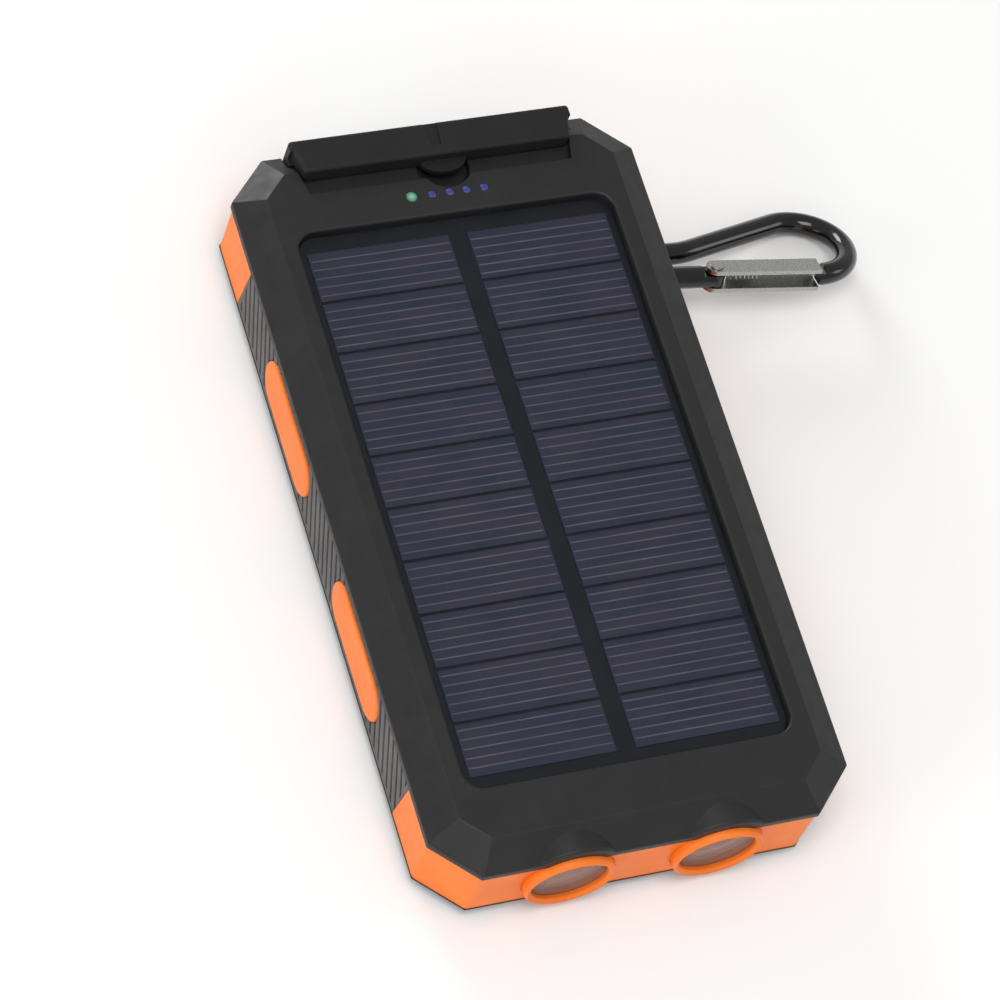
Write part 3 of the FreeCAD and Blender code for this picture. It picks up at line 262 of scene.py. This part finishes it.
MATERIALS = {
    "case_black": moulded("case_black", (0.0120, 0.0122, 0.0120), (0.0150, 0.0150, 0.0146), (0.42, 0.52),
                          0.35 * MM, 0.010 * MM, 0.25 * MM, specular_ior_level=0.33),
    "frame_orange": moulded("frame_orange", (0.82, 0.165, 0.008), (0.88, 0.195, 0.014), (0.38, 0.50),
                            0.4 * MM, 0.012 * MM, 0.25 * MM, specular_ior_level=0.35,
                            subsurface_weight=0.12, subsurface_scale=1.0 * MM),
    "grip_grey": moulded("grip_grey", (0.100, 0.098, 0.098), (0.130, 0.128, 0.126), (0.62, 0.80),
                         0.3 * MM, 0.03 * MM, 0.1 * MM, specular_ior_level=0.3),
    "cover_black": moulded("cover_black", (0.0085, 0.0085, 0.0085), (0.0110, 0.0110, 0.0108),
                           (0.50, 0.62), 0.3 * MM, 0.012 * MM, 0.2 * MM, specular_ior_level=0.26),
    "seal_rubber": moulded("seal_rubber", (0.014, 0.014, 0.014), (0.022, 0.022, 0.022), (0.6, 0.8),
                           0.4 * MM, 0.02 * MM),
    "panel_backing": moulded("panel_backing", (0.0045, 0.0065, 0.0105), (0.0070, 0.0090, 0.0135),
                             (0.36, 0.46), 3.0 * MM, 0.004 * MM, specular_ior_level=0.25),
    "cell_blue": silicon(),
    "cell_finger": moulded("cell_finger", (0.075, 0.070, 0.095), (0.110, 0.100, 0.125), (0.4, 0.55),
                           0.5 * MM, 0.004 * MM, specular_ior_level=0.3),
    "clear_cover": clear("clear_cover", (0.015, 0.017, 0.020), 0.06, 0.12),
    "board_green": moulded("board_green", (0.010, 0.105, 0.035), (0.018, 0.150, 0.055), (0.28, 0.42),
                           0.7 * MM, 0.02 * MM),
    "chip_black": moulded("chip_black", (0.016, 0.016, 0.017), (0.030, 0.030, 0.032), (0.5, 0.7),
                          0.25 * MM, 0.02 * MM),
    "socket_steel": brushed("socket_steel", (0.56, 0.56, 0.57), (0.72, 0.72, 0.73), (0.22, 0.36),
                            (1.0, 12.0, 1.0)),
    "tongue_black": moulded("tongue_black", (0.012, 0.012, 0.012), (0.022, 0.022, 0.022), (0.4, 0.55),
                            0.3 * MM, 0.01 * MM),
    "steel": brushed("steel", (0.34, 0.34, 0.33), (0.52, 0.52, 0.50), (0.22, 0.38), (1.0, 9.0, 9.0)),
    "black_aluminium": moulded("black_aluminium", (0.0020, 0.0020, 0.0022), (0.0040, 0.0040, 0.0044),
                               (0.10, 0.20), 1.5 * MM, 0.010 * MM, specular_ior_level=0.4,
                               coat_weight=0.25, coat_roughness=0.06),
    "status_green": lit("status_green", (0.006, 0.070, 0.030), (0.16, 0.33, 0.24), 0.35,
                        "status_light_pipe"),
    "level_blue": lit("level_blue", (0.022, 0.022, 0.13), (0.055, 0.055, 0.22), 0.25),
    "led_white": moulded("led_white", (0.80, 0.68, 0.28), (0.88, 0.84, 0.66), (0.3, 0.45),
                         0.5 * MM, 0.02 * MM),
    "reflector_chrome": brushed("reflector_chrome", (0.74, 0.72, 0.72), (0.86, 0.84, 0.84), (0.12, 0.22),
                                (1.0, 1.0, 1.0)),
    "torch_lens": clear("torch_lens", (0.34, 0.22, 0.18), 0.42, 0.10),
    "battery_foil": moulded("battery_foil", (0.55, 0.56, 0.58), (0.72, 0.73, 0.75), (0.28, 0.45),
                            1.2 * MM, 0.06 * MM, metallic=0.8),
    "foam": moulded("foam", (0.08, 0.08, 0.09), (0.14, 0.14, 0.15), (0.85, 0.95), 0.6 * MM, 0.15 * MM),
    "lead_red": moulded("lead_red", (0.42, 0.015, 0.012), (0.56, 0.028, 0.020), (0.35, 0.5),
                        0.6 * MM, 0.01 * MM),
    "compass_card": moulded("compass_card", (0.60, 0.74, 0.64), (0.72, 0.82, 0.74), (0.45, 0.6),
                            0.3 * MM, 0.006 * MM),
    "compass_lens": clear("compass_lens", (0.88, 0.92, 0.92), 0.10, 0.06),
    "compass_case": moulded("compass_case", (0.012, 0.012, 0.012), (0.020, 0.020, 0.020), (0.2, 0.34),
                            0.6 * MM, 0.01 * MM, 0.15 * MM),
    "brass": brushed("brass", (0.62, 0.42, 0.16), (0.80, 0.58, 0.28), (0.22, 0.34), (1.0, 1.0, 6.0)),
}


def dress(piece, slot):
    """Gives an object its slot's material, in place of what it came with."""
    piece.data.materials.clear()
    piece.data.materials.append(MATERIALS[slot])


def dress_cad_nodes():
    for subpart in frame["record"]["subparts"]:
        dress(frame["nodes"][subpart["node"]], subpart["material_slot"])


# ---------------------------------------------------------------- mesh helpers
def add_piece(name, mesh, body, slot, look=None):
    """Puts a mesh in the scene, riding on a CAD body with a slot's finish or a look of its own."""
    piece = bpy.data.objects.new(name, mesh)
    bpy.context.scene.collection.objects.link(piece)
    dress(piece, look or slot)
    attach(piece, body)
    return piece


def add_block(bm, low, high):
    """A rectangular block between two corners, joined to a bmesh under construction."""
    size = high - low
    place = Matrix.Translation((low + high) / 2) @ Matrix.Diagonal((*size, 1.0))
    return bmesh.ops.create_cube(bm, size=1.0, matrix=place)["verts"]


def mesh_from(bm, name):
    mesh = bpy.data.meshes.new(name)
    bm.to_mesh(mesh)
    bm.free()
    return mesh


# ---------------------------------------------------------------- solar panel
def cell_fingers():
    """Fine silver lines across every cell, printed on its top face."""
    low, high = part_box("solar_cells")
    pitch = (high.y - low.y) / CELLS_PER_STRIP
    gap_half = min(vertex.co.x for vertex in frame["nodes"]["solar_cells"].data.vertices if vertex.co.x > 0)
    bm = bmesh.new()
    for row in range(CELLS_PER_STRIP):
        for finger in range(FINGERS_PER_CELL):
            y = low.y + pitch * (row + 0.5 + FINGER_SPACING * (finger - (FINGERS_PER_CELL - 1) / 2))
            for near, far in ((-high.x, -gap_half), (gap_half, high.x)):
                start = Vector((near + FINGER_INSET, y - FINGER_WIDTH / 2, high.z - FINGER_HEIGHT / 2))
                end = Vector((far - FINGER_INSET, y + FINGER_WIDTH / 2, high.z + FINGER_HEIGHT))
                add_block(bm, start, end)
    add_piece("cell_fingers", mesh_from(bm, "cell_fingers"), "case", "cell_blue", "cell_finger")


def cover_sheet():
    """The clear laminate over the cells, with eased edges and rounded corners."""
    low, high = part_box("solar_cover")
    bm = bmesh.new()
    ring = []
    for x_side, y_side, start in ((1, 1, 0), (-1, 1, 90), (-1, -1, 180), (1, -1, 270)):
        edge_y = high.y if y_side > 0 else low.y
        centre = Vector((x_side * (high.x - COVER_CORNER_RADIUS), edge_y - y_side * COVER_CORNER_RADIUS,
                         high.z))
        for step in range(COVER_CORNER_STEPS + 1):
            angle = math.radians(start + 90 * step / COVER_CORNER_STEPS)
            outward = Vector((math.cos(angle), math.sin(angle), 0))
            ring.append(bm.verts.new(centre + COVER_CORNER_RADIUS * outward))
    face = bm.faces.new(ring)
    thickness = high.z - low.z - COVER_LIFT
    grown = bmesh.ops.extrude_face_region(bm, geom=[face])["geom"]
    bmesh.ops.translate(bm, verts=[part for part in grown if isinstance(part, bmesh.types.BMVert)],
                        vec=(0, 0, -thickness))
    bmesh.ops.recalc_face_normals(bm, faces=bm.faces)
    sheet = add_piece("cover_sheet", mesh_from(bm, "cover_sheet"), "case", "clear_cover")
    ease = sheet.modifiers.new("eased_edges", "BEVEL")
    ease.width = COVER_EASE
    ease.segments = 2
    ease.limit_method = "ANGLE"
    ease.angle_limit = math.radians(60)
    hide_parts("solar_cover")


# ---------------------------------------------------------------- sockets
def contacts(name, tongue_node, xs, size, rise):
    """Plated contacts on a socket's tongue; size is each one's width and length."""
    width, length = size
    low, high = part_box(tongue_node)
    middle = (low.x + high.x) / 2
    z = low.z + rise
    bm = bmesh.new()
    for x in xs:
        front_y = high.y - CONTACT_SETBACK
        add_block(bm, Vector((middle + x - width / 2, front_y - length, z - CONTACT_THICKNESS)),
                  Vector((middle + x + width / 2, front_y, z + CONTACT_THICKNESS / 2)))
    add_piece(name, mesh_from(bm, name), "case", "brass")


# ---------------------------------------------------------------- compass
def dial_marks():
    """Ticks round the compass card, on the face that looks out of the back."""
    low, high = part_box("compass_card")
    centre = (low + high) / 2
    radius = (high.x - low.x) / 2
    place = Matrix.Translation((centre.x, centre.y, high.z - DIAL_RISE))
    bm = bmesh.new()
    for index in range(TICK_COUNT):
        length, width = LONG_TICK if index % LONG_TICK_EVERY == 0 else SHORT_TICK
        outer = radius - TICK_MARGIN
        verts = add_block(bm, Vector((outer - length, -width / 2, -MARK_THICKNESS)),
                          Vector((outer, width / 2, MARK_THICKNESS / 2)))
        turn = Matrix.Rotation(2 * math.pi * index / TICK_COUNT, 4, "Z")
        bmesh.ops.transform(bm, matrix=place @ turn, verts=verts)
    add_piece("dial_marks", mesh_from(bm, "dial_marks"), "compass_card", "chip_black")


def dial_needle(name, slot, direction):
    """Half of the card's needle: a long thin kite from the hub to the ring of ticks."""
    low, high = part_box("compass_card")
    centre = (low + high) / 2
    face_z = high.z - DIAL_RISE
    outline = [(0.0, 0.0), (NEEDLE_HALF_WIDTH, NEEDLE_SHOULDER), (0.0, NEEDLE_LENGTH),
               (-NEEDLE_HALF_WIDTH, NEEDLE_SHOULDER)]
    bm = bmesh.new()
    layers = []
    for z in (face_z - NEEDLE_BOTTOM, face_z + NEEDLE_TOP):
        layers.append([bm.verts.new((centre.x + x, centre.y + direction * y, z)) for x, y in outline])
    bm.faces.new(layers[0])
    bm.faces.new(list(reversed(layers[1])))
    for index in range(len(outline)):
        after = (index + 1) % len(outline)
        bm.faces.new((layers[0][index], layers[0][after], layers[1][after], layers[1][index]))
    bmesh.ops.recalc_face_normals(bm, faces=bm.faces)
    add_piece(name, mesh_from(bm, name), "compass_card", slot)


# ---------------------------------------------------------------- floor, light and camera
def floor():
    """A wide pale table top at the charger's underside."""
    bm = bmesh.new()
    bmesh.ops.create_grid(bm, x_segments=1, y_segments=1, size=FLOOR_HALF_SIZE)
    plane = bpy.data.objects.new("floor", mesh_from(bm, "floor"))
    bpy.context.scene.collection.objects.link(plane)
    nodes = Nodes("floor_white")
    nodes.link(nodes.ramp(nodes.noise(0.4), (0.90, 0.895, 0.89), (0.92, 0.915, 0.91)),
               nodes.shader.inputs["Base Color"])
    nodes.fix(roughness=0.9, specular_ior_level=0.1)
    plane.data.materials.append(nodes.material)


def soft_light(name, azimuth, elevation, distance, size, power):
    """A square softbox at an angle round the charger, turned to face it."""
    direction = Vector((math.cos(math.radians(elevation)) * math.cos(math.radians(azimuth)),
                        math.cos(math.radians(elevation)) * math.sin(math.radians(azimuth)),
                        math.sin(math.radians(elevation))))
    data = bpy.data.lights.new(name, "AREA")
    data.shape = "SQUARE"
    data.size = size
    data.energy = power
    light = bpy.data.objects.new(name, data)
    light.location = direction * distance
    light.rotation_euler = direction.to_track_quat("Z", "Y").to_euler()
    bpy.context.scene.collection.objects.link(light)


def studio():
    """A white room with one softbox overhead and low ones to the left, front, back and right."""
    world = bpy.data.worlds.new("studio")
    world.use_nodes = True
    background = world.node_tree.nodes["Background"]
    background.inputs["Color"].default_value = (1.0, 1.0, 1.0, 1.0)
    background.inputs["Strength"].default_value = WORLD_STRENGTH
    bpy.context.scene.world = world
    for softbox in SOFTBOXES:
        soft_light(*softbox)


def camera():
    """Looks down on the solar face from over its lower left corner."""
    back = Vector((math.cos(CAMERA_ELEVATION) * math.cos(CAMERA_AZIMUTH),
                   math.cos(CAMERA_ELEVATION) * math.sin(CAMERA_AZIMUTH), math.sin(CAMERA_ELEVATION)))
    data = bpy.data.cameras.new("camera")
    data.lens = CAMERA_LENS
    eye = bpy.data.objects.new("camera", data)
    eye.location = CAMERA_TARGET + back * CAMERA_DISTANCE
    level = back.to_track_quat("Z", "Y")
    eye.rotation_euler = (level @ Quaternion((0, 0, 1), CAMERA_ROLL)).to_euler()
    bpy.context.scene.collection.objects.link(eye)
    bpy.context.scene.camera = eye


# ---------------------------------------------------------------- build the scene
dress_cad_nodes()
cell_fingers()
cover_sheet()
for side in ("left", "right"):
    contacts("usb_a_contacts_" + side, "usb_a_tongue_" + side, USB_A_CONTACT_XS, USB_A_CONTACT_SIZE,
             USB_A_TONGUE_RISE)
contacts("micro_usb_contacts", "micro_usb_tongue", MICRO_CONTACT_XS, MICRO_CONTACT_SIZE, MICRO_TONGUE_RISE)
dial_marks()
dial_needle("needle_north", "lead_red", 1)
dial_needle("needle_south", "chip_black", -1)

floor()
studio()
camera()
bpy.context.scene.view_settings.view_transform = "Standard"
